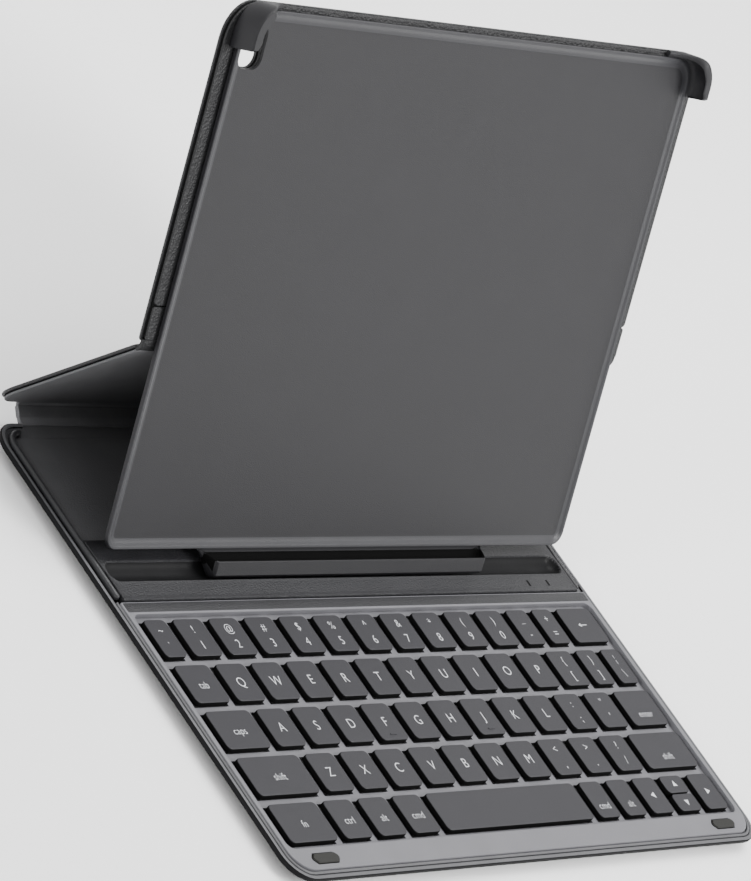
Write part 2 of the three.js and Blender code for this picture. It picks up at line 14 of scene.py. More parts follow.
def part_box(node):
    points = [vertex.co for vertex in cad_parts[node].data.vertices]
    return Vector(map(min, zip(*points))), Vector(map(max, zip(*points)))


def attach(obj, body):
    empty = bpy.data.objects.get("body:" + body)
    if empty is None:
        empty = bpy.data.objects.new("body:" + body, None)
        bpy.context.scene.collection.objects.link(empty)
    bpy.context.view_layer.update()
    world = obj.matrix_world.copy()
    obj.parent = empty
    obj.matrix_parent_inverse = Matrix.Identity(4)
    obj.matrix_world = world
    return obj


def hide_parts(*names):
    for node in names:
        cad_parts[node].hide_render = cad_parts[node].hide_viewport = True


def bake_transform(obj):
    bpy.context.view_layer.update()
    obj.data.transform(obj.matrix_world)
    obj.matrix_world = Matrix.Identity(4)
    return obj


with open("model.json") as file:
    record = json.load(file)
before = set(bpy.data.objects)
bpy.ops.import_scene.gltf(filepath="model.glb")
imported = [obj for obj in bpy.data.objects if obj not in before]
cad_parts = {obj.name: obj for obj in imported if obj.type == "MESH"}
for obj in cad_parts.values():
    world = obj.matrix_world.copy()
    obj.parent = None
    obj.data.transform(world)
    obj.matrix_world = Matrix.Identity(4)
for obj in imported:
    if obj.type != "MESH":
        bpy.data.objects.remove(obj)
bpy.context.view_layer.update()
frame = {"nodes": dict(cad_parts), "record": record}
MM = 0.001

# ------------------------------------------------------------------ driving dimensions

BASE_HALF_W = 130.3
BASE_HALF_D = 90.5
BASE_CORNER = 10.5
FLANGE_TOP = 4.95
BEAD_FOOT = 4.2
BEAD_TOP = 5.15
NOTCH_FRONT = 80           # behind this line the rim is cut down for the spine
NOTCH_TOP = 3.2
SOCKET_GAP = 0.3
SPINE_HALF_W = 115
SPINE_GAP = 1.4            # bare length at each end of the spine, bridged by a soft strip
SPINE_HALF_T = 0.8

DECK_TOP = 5.6
DECK_BOTTOM = 2.6
DECK_HALF_W = 127.1
DECK_FRONT = -87.3
DECK_CORNER = 8.5
SEAM_Y = 17.4
WELL_HALF_W = 125.2
WELL_FRONT = -79
WELL_BACK = 12.2
WEB_TOP = 3.6
KEY_OPENING = 0.25         # room round a key in its opening
OVERLAP = 0.2              # how far a web runs into the frame round it
BAND_HALF_W = 126.4
BUMPER_X = 111.3
BUMPER_Y = -83.4
BUMPER_HALF_W = 6.4
BUMPER_HALF_D = 1.8
BUMPER_END_HALF_D = 0.5
BUMPER_DEPTH = 0.85        # how far a bumper reaches down into its pocket
BUMPER_PROUD = 0.5
BUMPER_BEVEL = 0.35
POCKET_DEPTH = 0.9
POCKET_GAP = 0.35

PLATFORM_BOTTOM = 2.2
PLATFORM_HALF_W = 124.4
PLATFORM_BACK = 42
TROUGH_FRONT = 25.1
TROUGH_BACK = 33.2
TROUGH_HALF_W = 123.3
TROUGH_DEPTH = 2.6
TROUGH_RIM = 0.6
WINDOW_HALF_W = 0.5
WINDOW_HALF_D = 1.2
LINING_BOTTOM = 3.6
LINING_TOP = 4.2
TONGUE_BACK = 90.2
SHOULDER_BACK = 87.4
SHOULDER_X = 119

PIPING_X = 125.9
PIPING_Z = 4.75
PIPING_RADIUS = 1.1
PIPING_CORNER = 6.2
PIPING_START_Y = 19
PIPING_TURN_Y = 80

PANEL_HALF_W = 130
PANEL_GAP = 1.5            # bare length between a panel and its fold
FLAP_CORNER = 10.5
COVER_CORNER = 12.5
TRAY_LEAN = math.radians(59.6)
TRAY_HALF_W = 124.5
TRAY_H = 171.7
TRAY_BELOW_FOLD = 64.1
TRAY_CORNER = 5
TRAY_TOP_CORNER = 9.4
TRAY_BACK = 1.2
TRAY_FLOOR = 2.1
LIP_FRONT = 2.9
CAMERA_X = -116.6
CAMERA_Y = 159.9 - TRAY_BELOW_FOLD
CAMERA_HALF_W = 5.9
CAMERA_HALF_H = 7.2
CAMERA_CORNER = 3.8
COVER_TOP = TRAY_H - TRAY_BELOW_FOLD + 1.9
INNER_START = 13.3
CLIP_HALF_W = 127
CLIP_TOP = TRAY_H - TRAY_BELOW_FOLD + 2.3
CLIP_CORNER = 10
CLIP_REACH = 15
CLIP_FRONT = 10.2

# Ledge under the tray: its section is in height above the tray's bottom edge and distance before the lip.
LEDGE_HALF_W = 72.7
LEDGE_END = 77.7
LEDGE_STEM = -0.85         # the depth before the lip that its ends shrink towards
LEDGE_SECTION = [
    (1, -1.65), (-1.2, -1.7), (-5.2, 0.6), (-7.6, 1.9), (-8.4, 2.8), (-8.2, 3.9), (-7.6, 5.1),
    (-6.9, 5.75), (-2.6, 5.8), (-2.3, 5.5), (-2.35, 4.5), (-2.7, 4.2), (-3.9, 3.6), (-3.8, 1.4),
    (-2.6, 0.1), (-1.2, -0.4), (-0.2, -0.1), (1, -0.1),
]
GUTTER_HALF_W = 76
GUTTER_UP = (-3.95, -0.9)
GUTTER_FORWARD = (-0.5, 5.3)

PITCH = 18.03
KEY_GAP = 3.7
FIELD_HALF_W = 122.2
CAP_CORNER = 1.9
LETTER_SIZE = 5.2
WORD_SIZE = 3.8
LOWER_SIGN_SIZE = 4.7
UPPER_SIGN_SIZE = 4.3
LOWER_SIGN_DROP = 3
UPPER_SIGN_RISE = 3.2
MIDDLE_WORD_DROP = 0.6
FRONT_WORD_DROP = 2.6
STROKE_HALF_W = 0.15
LETTER_THINNING = 0.012    # as shares of the lettering's size
LETTER_MIDDLE = 0.35
LETTERING_RISE = 0.03

SHARP = 32                 # degrees: a steeper edge between two faces stays crisp
SUPPORT_RING = 0.4         # flat ring inside a rounded edge, so that the edge shades cleanly

CAMERA_AZIMUTH = math.radians(-64.4)
CAMERA_ELEVATION = math.radians(25.65)
CAMERA_ROLL = math.radians(43.0)
CAMERA_DISTANCE = 1720
CAMERA_TARGET = Vector((-71.5, 16.2, 81.8))
CAMERA_LENS = 230
CAMERA_SHIFT = -0.0082

# ------------------------------------------------------------------ materials

CLOUD_SCALE = 60
CLOUD_DETAIL = 6
CLOUD_RANGE = (0.3, 0.7)
BUMP_DISTANCE = 0.3
VERY_DARK = 0.03           # colours whose channels add up to less than this hardly shine
SPECULAR = 0.25
SPECULAR_VERY_DARK = 0.06


def surface(name, colour, roughness, grain=0.0, size=0.4, shade=0.15, stretch=1.0, turn=0.0,
            metallic=0.0, cells=False):
    """Principled material: bump of strength grain and of the given size, with a soft change of shade."""
    made = bpy.data.materials.new(name)
    made.use_nodes = True
    nodes = made.node_tree.nodes
    links = made.node_tree.links
    shader = nodes["Principled BSDF"]
    shader.inputs["Roughness"].default_value = roughness
    shader.inputs["Metallic"].default_value = metallic
    specular = SPECULAR if sum(colour) > VERY_DARK else SPECULAR_VERY_DARK
    shader.inputs["Specular IOR Level"].default_value = specular
    where = nodes.new("ShaderNodeTexCoord")
    turned = nodes.new("ShaderNodeMapping")
    turned.inputs["Rotation"].default_value = (0, 0, turn)
    turned.inputs["Scale"].default_value = (1, stretch, 1)
    links.new(where.outputs["Object"], turned.inputs["Vector"])
    cloud = nodes.new("ShaderNodeTexNoise")
    cloud.inputs["Scale"].default_value = CLOUD_SCALE
    cloud.inputs["Detail"].default_value = CLOUD_DETAIL
    links.new(turned.outputs["Vector"], cloud.inputs["Vector"])
    ramp = nodes.new("ShaderNodeValToRGB")
    for element, position, share in zip(ramp.color_ramp.elements, CLOUD_RANGE, (1 - shade, 1 + shade)):
        element.position = position
        element.color = [c * share for c in colour] + [1]
    links.new(cloud.outputs["Fac"], ramp.inputs["Fac"])
    links.new(ramp.outputs["Color"], shader.inputs["Base Color"])
    if grain:
        texture = nodes.new("ShaderNodeTexVoronoi" if cells else "ShaderNodeTexNoise")
        texture.inputs["Scale"].default_value = 1000 / size
        links.new(turned.outputs["Vector"], texture.inputs["Vector"])
        bump = nodes.new("ShaderNodeBump")
        bump.inputs["Strength"].default_value = grain
        bump.inputs["Distance"].default_value = BUMP_DISTANCE * MM
        links.new(texture.outputs["Distance" if cells else "Fac"], bump.inputs["Height"])
        links.new(bump.outputs["Normal"], shader.inputs["Normal"])
    return made


MATERIALS = {
    "leather": surface("leather", (0.013, 0.013, 0.014), 0.5, 0.9, 0.8, 0.07, cells=True),
    # Lighter copy of the leather, taken by the faces of the base's rim and bead that look up: painted
    # highlight.
    "flange": surface("flange", (0.09, 0.09, 0.095), 0.4, 0.5, 0.8, 0.1),
    # Near-black copy of the leather, taken by the base's outer walls: painted shade.
    "painted_shade_edge": surface("painted_shade_edge", (0.007, 0.007, 0.0075), 0.6, 0.5, 0.8, 0.15),
    # Lighter copy of the leather for the piping: painted highlight.
    "piping": surface("piping", (0.028, 0.028, 0.03), 0.3, 0.4, 0.9, 0.1),
    "edge_leather": surface("edge_leather", (0.02, 0.02, 0.0215), 0.45, 0.8, 0.7, 0.07, cells=True),
    "platform_leather": surface(
        "platform_leather", (0.019, 0.019, 0.021), 0.4, 1.0, 0.95, 0.1, stretch=1.7, turn=0.95,
    ),
    # Much lighter than the other leather: painted light and highlight on the spine and its soft folds.
    "spine_leather": surface("spine_leather", (0.12, 0.12, 0.125), 0.26, 0.4, 1.5, 0.15),
    # Darker copy of the platform leather for the faces of the trough: painted shade in the groove.
    "trough": surface("trough", (0.0085, 0.0085, 0.009), 0.4, 0.15, 1.2, 0.15),
    "lining": surface("lining", (0.085, 0.085, 0.089), 0.8, 0.5, 0.5, 0.08),
    "board": surface("board", (0.005, 0.005, 0.005), 0.8, 0.3, 0.8, 0.1),
    "deck": surface("deck", (0.14, 0.139, 0.15), 0.42, 0.3, 0.35, 0.05),
    "keycap": surface("keycap", (0.021, 0.0205, 0.024), 0.5, 0.25, 0.3, 0.05),
    "key_side": surface("key_side", (0.003, 0.003, 0.003), 0.8, 0.2, 0.3, 0.1),
    "legend": surface("legend", (0.55, 0.56, 0.58), 0.5, 0.1, 0.5, 0.03),
    "tray": surface("tray", (0.0105, 0.0103, 0.012), 0.5, 0.3, 0.3, 0.05),
    # Lighter copy of the tray for its lip and fillet: painted highlight.
    "tray_lip_painted_highlight": surface("tray_lip_painted_highlight", (0.03, 0.03, 0.033), 0.35, 0.2, 0.3, 0.05),
    "rubber": surface("rubber", (0.012, 0.012, 0.010), 0.6, 0.3, 0.4, 0.1),
    "membrane": surface("membrane", (0.03, 0.03, 0.03), 0.5, 0.1, 0.5, 0.05),
    "cell": surface("cell", (0.55, 0.56, 0.58), 0.35, 0.2, 1.5, 0.05, metallic=0.7),
    "circuit": surface("circuit", (0.02, 0.09, 0.05), 0.4, 0.2, 1.0, 0.2),
    "steel": surface("steel", (0.5, 0.5, 0.51), 0.3, 0.2, 0.3, 0.05, stretch=12.0, metallic=1.0),
    "lens": surface("lens", (0.003, 0.003, 0.003), 0.6, 0.05, 0.5, 0.1),
    # Near black; the faces of the ledge's gutter take it as painted shade.
    "gap": surface("gap", (0.002, 0.002, 0.002), 0.95, 0.2, 0.5, 0.1),
}

for entry in frame["record"]["subparts"]:
    node = frame["nodes"][entry["node"]]
    node.data.materials.clear()
    node.data.materials.append(MATERIALS[entry["material_slot"]])

# ------------------------------------------------------------------ shapes

IDENTITY = Matrix.Identity(4)
JOINTS = frame["record"]["behaviour"]["joints"]
HINGES = {joint["name"]: joint["pos_m"] for joint in JOINTS if "pos_m" in joint}


def hinge_point(name):
    return Vector(HINGES[name]) / MM


def fold_frame(name, direction):
    """Frame at a fold, in mm: +Y along the panel, +Z towards its inner side."""
    return Matrix.Translation(hinge_point(name)) @ Matrix.Rotation(direction, 4, "X")


def direction_to(a, b):
    """Angle of the way from one hinge to another, seen along X."""
    way = hinge_point(b) - hinge_point(a)
    return math.atan2(way.z, way.y)


SPINE_LEAN = direction_to("base_fold", "flap_fold")
FLAP_LEAN = direction_to("flap_fold", "tray_fold")
SPINE_LENGTH = (hinge_point("flap_fold") - hinge_point("base_fold")).length
FLAP_LENGTH = (hinge_point("tray_fold") - hinge_point("flap_fold")).length
SPINE_FRAME = fold_frame("base_fold", SPINE_LEAN)
FLAP_FRAME = fold_frame("flap_fold", FLAP_LEAN)
TRAY_FRAME = fold_frame("tray_fold", TRAY_LEAN)


def rounded(x0, x1, y0, y1, front, back=None, steps=6, stops=()):
    """Points of a rounded rectangle; stops are extra points along its back edge."""
    back = front if back is None else back
    corners = [
        (x1 - front, y0 + front, front, -90),
        (x1 - back, y1 - back, back, 0),
        (x0 + back, y1 - back, back, 90),
        (x0 + front, y0 + front, front, 180),
    ]
    points = []
    for index, (cx, cy, radius, start) in enumerate(corners):
        for i in range(steps + 1):
            angle = math.radians(start + 90 * i / steps)
            points.append((cx + radius * math.cos(angle), cy + radius * math.sin(angle)))
        if index == 1:
            points += [(x, y1) for x in sorted(stops, reverse=True)]
    return points


def level(points, z):
    return [(x, y, z) for x, y in points]


def loft(rings, closed=False):
    """Solid through rings of points: its ends are capped, or joined when closed."""
    shape = bmesh.new()
    rows = [[shape.verts.new(p) for p in ring] for ring in rings]
    pairs = list(zip(rows, rows[1:]))
    if closed:
        pairs.append((rows[-1], rows[0]))
    for a, b in pairs:
        for i in range(len(a)):
            j = (i + 1) % len(a)
            shape.faces.new((a[i], a[j], b[j], b[i]))
    if not closed:
        shape.faces.new(rows[0])
        shape.faces.new(rows[-1])
    return shape


def slab(outline, levels):
    """Solid of stacked outlines: levels are (inset, height), and outline(inset) gives the points."""
    return loft([level(outline(inset), z) for inset, z in levels])


def rounded_levels(z0, z1, radius):
    """Levels of a slab with softly rounded edges."""
    low = [(radius + SUPPORT_RING, z0)]
    for degrees in (0, 30, 60, 90):
        a = math.radians(degrees)
        low.append((radius * (1 - math.sin(a)), z0 + radius * (1 - math.cos(a))))
    return low + [(i, z0 + z1 - z) for i, z in reversed(low)]


def shade(shape, sharp):
    """Smooth faces, with edges sharper than the angle kept crisp."""
    for face in shape.faces:
        face.smooth = True
    for edge in shape.edges:
        edge.smooth = edge.calc_face_angle(0) < math.radians(sharp)


def piece(name, shape, material, place=IDENTITY, sharp=SHARP, extra=()):
    """Object from a shape. Faces with material index 1 or 2 take the extra materials."""
    bmesh.ops.recalc_face_normals(shape, faces=shape.faces)
    shade(shape, sharp)
    shape.transform(Matrix.Scale(MM, 4) @ place)
    mesh = bpy.data.meshes.new(name)
    shape.to_mesh(mesh)
    shape.free()
    made = bpy.data.objects.new(name, mesh)
    bpy.context.scene.collection.objects.link(made)
    for slot_name in (material, *extra):
        mesh.materials.append(MATERIALS[slot_name])
    return made


def finish_piece(made, body, slot, *replaced):
    """Puts a piece on its body and in place of the CAD nodes that it replaces; its slot is not used."""
    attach(made, body)
    if replaced:
        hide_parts(*replaced)


def cut(made, shape, place=IDENTITY):
    """Takes a shape away from a piece."""
    cutter = piece("cutter", shape, "gap", place)
    modifier = made.modifiers.new("cut", "BOOLEAN")
    modifier.operation = "DIFFERENCE"
    modifier.object = cutter
    modifier.solver = "EXACT"
    evaluated = made.evaluated_get(bpy.context.evaluated_depsgraph_get())
    mesh = bpy.data.meshes.new_from_object(evaluated)
    made.modifiers.clear()
    trimmed = bmesh.new()
    trimmed.from_mesh(mesh)
    shade(trimmed, SHARP)
    trimmed.to_mesh(mesh)
    trimmed.free()
    made.data = mesh
    bpy.data.objects.remove(cutter)


def add_box(shape, x0, x1, y0, y1, z0, z1):
    corners = Matrix.LocRotScale(
        ((x0 + x1) / 2, (y0 + y1) / 2, (z0 + z1) / 2), None, (x1 - x0, y1 - y0, z1 - z0),
    )
    bmesh.ops.create_cube(shape, size=1, matrix=corners)


# ------------------------------------------------------------------ keyboard base


def base_outline(inset):
    """Outline of the base, with points at both ends of the notch for the spine."""
    stops = (-SPINE_HALF_W - 0.4, -SPINE_HALF_W, SPINE_HALF_W, SPINE_HALF_W + 0.4)
    return rounded(
        -BASE_HALF_W + inset, BASE_HALF_W - inset, -BASE_HALF_D + inset, BASE_HALF_D - inset,
        max(BASE_CORNER - inset, 2.5), steps=8, stops=stops,
    )


def add_base_cover():
    """Outer panel with its upturned rim: the profile is (inset, height) from below to inside."""
    profile = [
        (6.5, 0), (5.7, 0.25), (0.9, 2.75), (0.3, 3.2), (0.05, 3.9), (0.05, 4.5), (0.35, 4.85),
        (0.9, FLANGE_TOP), (1.45, FLANGE_TOP), (1.7, 4.7), (1.75, 4.1), (3.1, 3.9), (7.9, 1.2),
    ]
    rings = []
    for inset, z in profile:
        ring = []
        for x, y in base_outline(inset):
            in_notch = y > NOTCH_FRONT and abs(x) < SPINE_HALF_W + 0.2
            ring.append((x, y, min(z, NOTCH_TOP) if in_notch else z))
        rings.append(ring)
    shape = loft(rings)
    bmesh.ops.recalc_face_normals(shape, faces=shape.faces)
    # Faces that look up take the lighter leather copy as painted highlight, all others the near-black copy
    # as painted shade.
    for face in shape.faces:
        face.material_index = 0 if face.normal.z > 0.7 else 1
    cover = piece("cover_shell", shape, "flange", extra=("painted_shade_edge",))
    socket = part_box("charging_socket")
    low, high = socket[0] / MM, socket[1] / MM
    mouth = bmesh.new()
    add_box(
        mouth, low.x, BASE_HALF_W + 3, low.y - SOCKET_GAP, high.y + SOCKET_GAP,
        low.z - SOCKET_GAP, high.z + SOCKET_GAP,
    )
    cut(cover, mouth)
    finish_piece(cover, "base", "leather", "base_cover")


def add_edge_bead():
    """Thin bead in the groove between the keyboard frame and the flange."""
    def outline(inset):
        return rounded(
            -BASE_HALF_W + inset, BASE_HALF_W - inset, -BASE_HALF_D + inset, SEAM_Y,
            BASE_CORNER - inset, 0.3, steps=8,
        )
    profile = [
        (2, BEAD_FOOT), (2, FLANGE_TOP), (2.2, BEAD_TOP), (2.75, BEAD_TOP), (2.95, FLANGE_TOP),
        (2.95, BEAD_FOOT),
    ]
    rings = [level(outline(inset), z) for inset, z in profile]
    # The bead takes the lighter leather copy as a painted highlight.
    finish_piece(piece("edge_bead", loft(rings, closed=True), "flange"), "base", "leather")


def add_deck():
    """Keyboard frame round its well, and the leather band along the seam behind it."""
    def outer(inset):
        return rounded(
            -DECK_HALF_W + inset, DECK_HALF_W - inset, DECK_FRONT + inset, SEAM_Y - 0.3 - inset,
            DECK_CORNER - inset, 1, steps=8,
        )

    def well(inset):
        return rounded(
            -WELL_HALF_W + inset, WELL_HALF_W - inset, WELL_FRONT + inset, WELL_BACK - inset, 3, steps=8,
        )
    outer_profile = [
        (2.9, DECK_BOTTOM), (0, 4.3), (0, DECK_TOP - 0.3), (0.12, DECK_TOP - 0.1), (0.4, DECK_TOP),
        (0.7, DECK_TOP),
    ]
    well_profile = [
        (-0.6, DECK_TOP), (-0.35, DECK_TOP), (-0.1, DECK_TOP - 0.1), (0, DECK_TOP - 0.3), (0, WEB_TOP),
        (0, DECK_BOTTOM),
    ]
    rings = [level(outer(inset), z) for inset, z in outer_profile]
    rings += [level(well(inset), z) for inset, z in well_profile]
    deck = piece("deck_frame", loft(rings, closed=True), "deck")
    for side in (-1, 1):
        cut(deck, bumper_shape(side, POCKET_GAP, DECK_TOP - POCKET_DEPTH, DECK_TOP + 1))
    finish_piece(deck, "base", "deck", "keyboard_frame")

    def band_outline(inset):
        return rounded(
            -BAND_HALF_W + inset, BAND_HALF_W - inset, WELL_BACK + 0.8 + inset, SEAM_Y - 0.8 - inset, 0.5,
        )
    band = slab(band_outline, [(0, DECK_TOP - 0.2), (0, DECK_TOP + 0.04), (0.15, DECK_TOP + 0.1)])
    finish_piece(piece("seam_band", band, "platform_leather"), "base", "platform_leather")


def bumper_shape(side, grow, z0, z1, bevel=0.0):
    """Long pad with blunt pointed ends."""
    def outline(inset):
        half_w = BUMPER_HALF_W + grow - inset
        half_d = BUMPER_HALF_D + grow - inset
        end = BUMPER_END_HALF_D
        x, y = side * BUMPER_X, BUMPER_Y
        corner = half_w - half_d * 0.75
        return [
            (x - half_w, y - end), (x - corner, y - half_d),
            (x + corner, y - half_d), (x + half_w, y - end),
            (x + half_w, y + end), (x + corner, y + half_d),
            (x - corner, y + half_d), (x - half_w, y + end),
        ]
    if bevel:
        return slab(outline, [(0, z0), (0, z1 - bevel), (bevel * 0.8, z1)])
    return slab(outline, [(0, z0), (0, z1)])


def add_bumpers():
    for side, name in ((-1, "left"), (1, "right")):
        pad = bumper_shape(side, 0, DECK_TOP - BUMPER_DEPTH, DECK_TOP + BUMPER_PROUD, BUMPER_BEVEL)
        made = piece(f"bumper_{name}", pad, "rubber")
        finish_piece(made, "base", "rubber", f"screen_bumper_{name}")


# ------------------------------------------------------------------ keys


def pitch_keys(centre, labels):
    """Keys one pitch apart, as (left edge, right edge, legend), from the middle of the first one."""
    half = (PITCH - KEY_GAP) / 2
    return [(centre + i * PITCH - half, centre + i * PITCH + half, label) for i, label in enumerate(labels)]


def letters(text, centre):
    """One body for each letter of a row."""
    return [(f"key_{c}", pitch_keys(centre + i * PITCH, [c.upper()])) for i, c in enumerate(text)]


# Rows from back to front. Each body holds its keys as (left edge, right edge, legend). In a legend, "a|b"
# puts b above a, "<word" is a small word in the middle of the cap and ">word" one near its front edge.
KEY_ROWS = [
    [("number_row_keys", [
        (-FIELD_HALF_W, -111.55, "`|~"),
        *pitch_keys(-100.7, ["1|!", "2|@", "3|#", "4|$", "5|%", "6|^", "7|&", "8|*", "9|(", "0|)"]),
        (72.4, 84, "-|_"), (87.7, 98.8, "=|+"), (102.5, FIELD_HALF_W, "back"),
    ])],
    [("tab_key", [(-FIELD_HALF_W, -105.35, "<tab")]), *letters("qwertyuiop", -94.5),
     ("bracket_keys", [(78.6, 92.9, "[|{"), (96.6, 107.9, "]|}"), (111.6, FIELD_HALF_W, "\\|¦")])],
    [("caps_key", [(-FIELD_HALF_W, -100.35, "<caps")]), *letters("asdfghjkl", -89.5),
     ("enter_keys", [(65.65, 79.95, ";|:"), (83.65, 97.95, "'|\""), (101.65, FIELD_HALF_W, ">enter")])],
    [("left_shift_key", [(-FIELD_HALF_W, -91.4, "<shift")]), *letters("zxcvbnm", -80.56),
     ("right_shift_keys", [*pitch_keys(-80.56 + 7 * PITCH, [",|<", ".|>", "/|?"]),
                           (92.56, FIELD_HALF_W, ">shift")])],
    [("modifier_keys", [(-FIELD_HALF_W, -98.3, "<fn"), (-94.6, -80.3, "<ctrl"), (-76.6, -62.3, "<alt"),
                        (-58.6, -44.3, "<cmd")]),
     ("space_bar", [(-40.6, 41.5, "")]),
     ("arrow_keys", [(45.2, 57.2, ">cmd"), (60.9, 72.8, ">alt"), (76.5, 89.3, "left"),
                     (93, 106, "up down"), (109.7, FIELD_HALF_W, "right")])],
]


def cap_shape(x0, x1, y0, y1, z0, z1):
    """Keycap with a soft top edge; its sides take the second material."""
    def outline(inset):
        return rounded(x0 + inset, x1 - inset, y0 + inset, y1 - inset, CAP_CORNER - inset, steps=4)
    shape = slab(outline, [(0, z0), (0, z1 - 0.45), (0.06, z1 - 0.15), (0.25, z1)])
    for face in shape.faces:
        centre = face.calc_center_median()
        face.material_index = 0 if centre.z > z1 - 0.2 else 1
    return shape


def add_triangle(shape, x, y, z, size, turn):
    """Flat arrow head that points turn degrees round from the right."""
    points = []
    for angle in (0, 125, 235):
        a = math.radians(angle + turn)
        points.append(shape.verts.new((x + size * math.cos(a), y + size * math.sin(a), z)))
    shape.faces.new(points).material_index = 2


def add_stroke(shape, x0, x1, y, z):
    """Flat line from x0 to x1."""
    y0, y1 = y - STROKE_HALF_W, y + STROKE_HALF_W
    corners = [(x0, y0, z), (x1, y0, z), (x1, y1, z), (x0, y1, z)]
    shape.faces.new([shape.verts.new(p) for p in corners]).material_index = 2


def add_lettering(shape, text, size, x, y, z):
    """Adds a line of flat lettering round x and y to a shape."""
    curve = bpy.data.curves.new("lettering", "FONT")
    curve.body = text
    curve.size = size
    curve.align_x = "CENTER"
    curve.offset = -LETTER_THINNING * size
    holder = bpy.data.objects.new("lettering", curve)
    bpy.context.scene.collection.objects.link(holder)
    evaluated = holder.evaluated_get(bpy.context.evaluated_depsgraph_get())
    mesh = bpy.data.meshes.new_from_object(evaluated)
    mesh.transform(Matrix.Translation((x, y - LETTER_MIDDLE * size, z)))
    before = len(shape.faces)
    shape.from_mesh(mesh)
    shape.faces.ensure_lookup_table()
    for face in shape.faces[before:]:
        face.material_index = 2
    bpy.data.objects.remove(holder)
    bpy.data.curves.remove(curve)


def add_legend(shape, text, x, y, top):
    """Legend on a keycap: a sign, a pair of signs, a small word or an arrow."""
    z = top + LETTERING_RISE
    arrows = {"left": 180, "right": 0, "up": 90, "down": -90}
    if text in arrows:
        add_triangle(shape, x, y, z, 1.5, arrows[text])
    elif text == "back":
        add_triangle(shape, x - 1.7, y, z, 1, 180)
        add_stroke(shape, x - 1.6, x + 2.2, y, z)
    elif "|" in text:
        lower, upper = text.split("|")
        add_lettering(shape, lower, LOWER_SIGN_SIZE, x, y - LOWER_SIGN_DROP, z)
        add_lettering(shape, upper, UPPER_SIGN_SIZE, x, y + UPPER_SIGN_RISE, z)
    elif text.startswith("<"):
        add_lettering(shape, text[1:], WORD_SIZE, x, y - MIDDLE_WORD_DROP, z)
    elif text.startswith(">"):
        add_lettering(shape, text[1:], WORD_SIZE, x, y - FRONT_WORD_DROP, z)
    elif text:
        add_lettering(shape, text, LETTER_SIZE, x, y, z)


def cap_bounds(body, keys):
    """Edges of each cap: a body with one key takes its own box."""
    low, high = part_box(body)
    low, high = low / MM, high / MM
    if len(keys) == 1:
        keys = [(low.x, high.x, keys[0][2])]
    return [(x0, x1, low.y, high.y, low.z, high.z, label) for x0, x1, label in keys]


def add_cap(name, body, label, x0, x1, y0, y1, z0, z1):
    """One keycap with its legend. F and J have a small ridge for the fingers."""
    x = (x0 + x1) / 2
    cap = cap_shape(x0, x1, y0, y1, z0, z1)
    add_legend(cap, label, x, (y0 + y1) / 2, z1)
    if label in ("F", "J"):
        add_box(cap, x - 1.6, x + 1.6, y0 + 2, y0 + 2.5, z1 - 0.1, z1 + 0.2)
    made = piece(name, cap, "keycap", extra=("key_side", "legend"))
    finish_piece(made, f"{body}_body", "keycap", body)


def add_keys():
    """Caps of all the keys. The up and down arrows share the space of one key."""
    for row in KEY_ROWS:
        for body, keys in row:
            for number, (x0, x1, y0, y1, z0, z1, label) in enumerate(cap_bounds(body, keys)):
                if label == "up down":
                    middle = (y0 + y1) / 2
                    add_cap("cap_down", body, "down", x0, x1, y0, middle - KEY_OPENING, z0, z1)
                    add_cap("cap_up", body, "up", x0, x1, middle + KEY_OPENING, y1, z0, z1)
                else:
                    add_cap(f"cap_{body}_{number}", body, label, x0, x1, y0, y1, z0, z1)


def add_webs():
    """Webs of the keyboard frame between the keys."""
    webs = bmesh.new()
    edge = WELL_HALF_W + OVERLAP
    front = WELL_FRONT - OVERLAP
    for row in reversed(KEY_ROWS):
        caps = [cap for body, keys in row for cap in cap_bounds(body, keys)]
        y0, y1 = caps[0][2] - KEY_OPENING, caps[0][3] + KEY_OPENING
        add_box(webs, -edge, edge, front, y0, DECK_BOTTOM, WEB_TOP)
        x = -edge
        for left, right, *_ in caps:
            add_box(webs, x, left - KEY_OPENING, y0, y1, DECK_BOTTOM, WEB_TOP)
            x = right + KEY_OPENING
        add_box(webs, x, edge, y0, y1, DECK_BOTTOM, WEB_TOP)
        front = y1
    add_box(webs, -edge, edge, front, WELL_BACK + OVERLAP, DECK_BOTTOM, WEB_TOP)
    finish_piece(piece("key_webs", webs, "deck"), "base", "deck")


# ------------------------------------------------------------------ platform and rear of the base


def platform_height(x, y):
    """Height of the platform's top: flat, with the rounded trough and its pressed rim."""
    half = (TROUGH_BACK - TROUGH_FRONT) / 2
    middle = (TROUGH_BACK + TROUGH_FRONT) / 2
    radius = (half * half + TROUGH_DEPTH * TROUGH_DEPTH) / (2 * TROUGH_DEPTH)
    away = math.hypot(max(abs(x) - (TROUGH_HALF_W - half), 0), y - middle)
    if away < half:
        return DECK_TOP - TROUGH_DEPTH + radius - math.sqrt(radius * radius - away * away)
    if away < half + TROUGH_RIM:
        return DECK_TOP + 0.14
    edge = min(y - SEAM_Y - 0.3, PLATFORM_BACK - y, PLATFORM_HALF_W - abs(x))
    if edge < 0.2:
        return DECK_TOP - 0.3
    if edge < 1.1 and y < 30:
        return DECK_TOP + 0.12
    return DECK_TOP


def in_trough(point):
    inside = TROUGH_FRONT < point.y < TROUGH_BACK and abs(point.x) < TROUGH_HALF_W
    return inside and PLATFORM_BOTTOM + 0.1 < point.z < DECK_TOP - 0.15


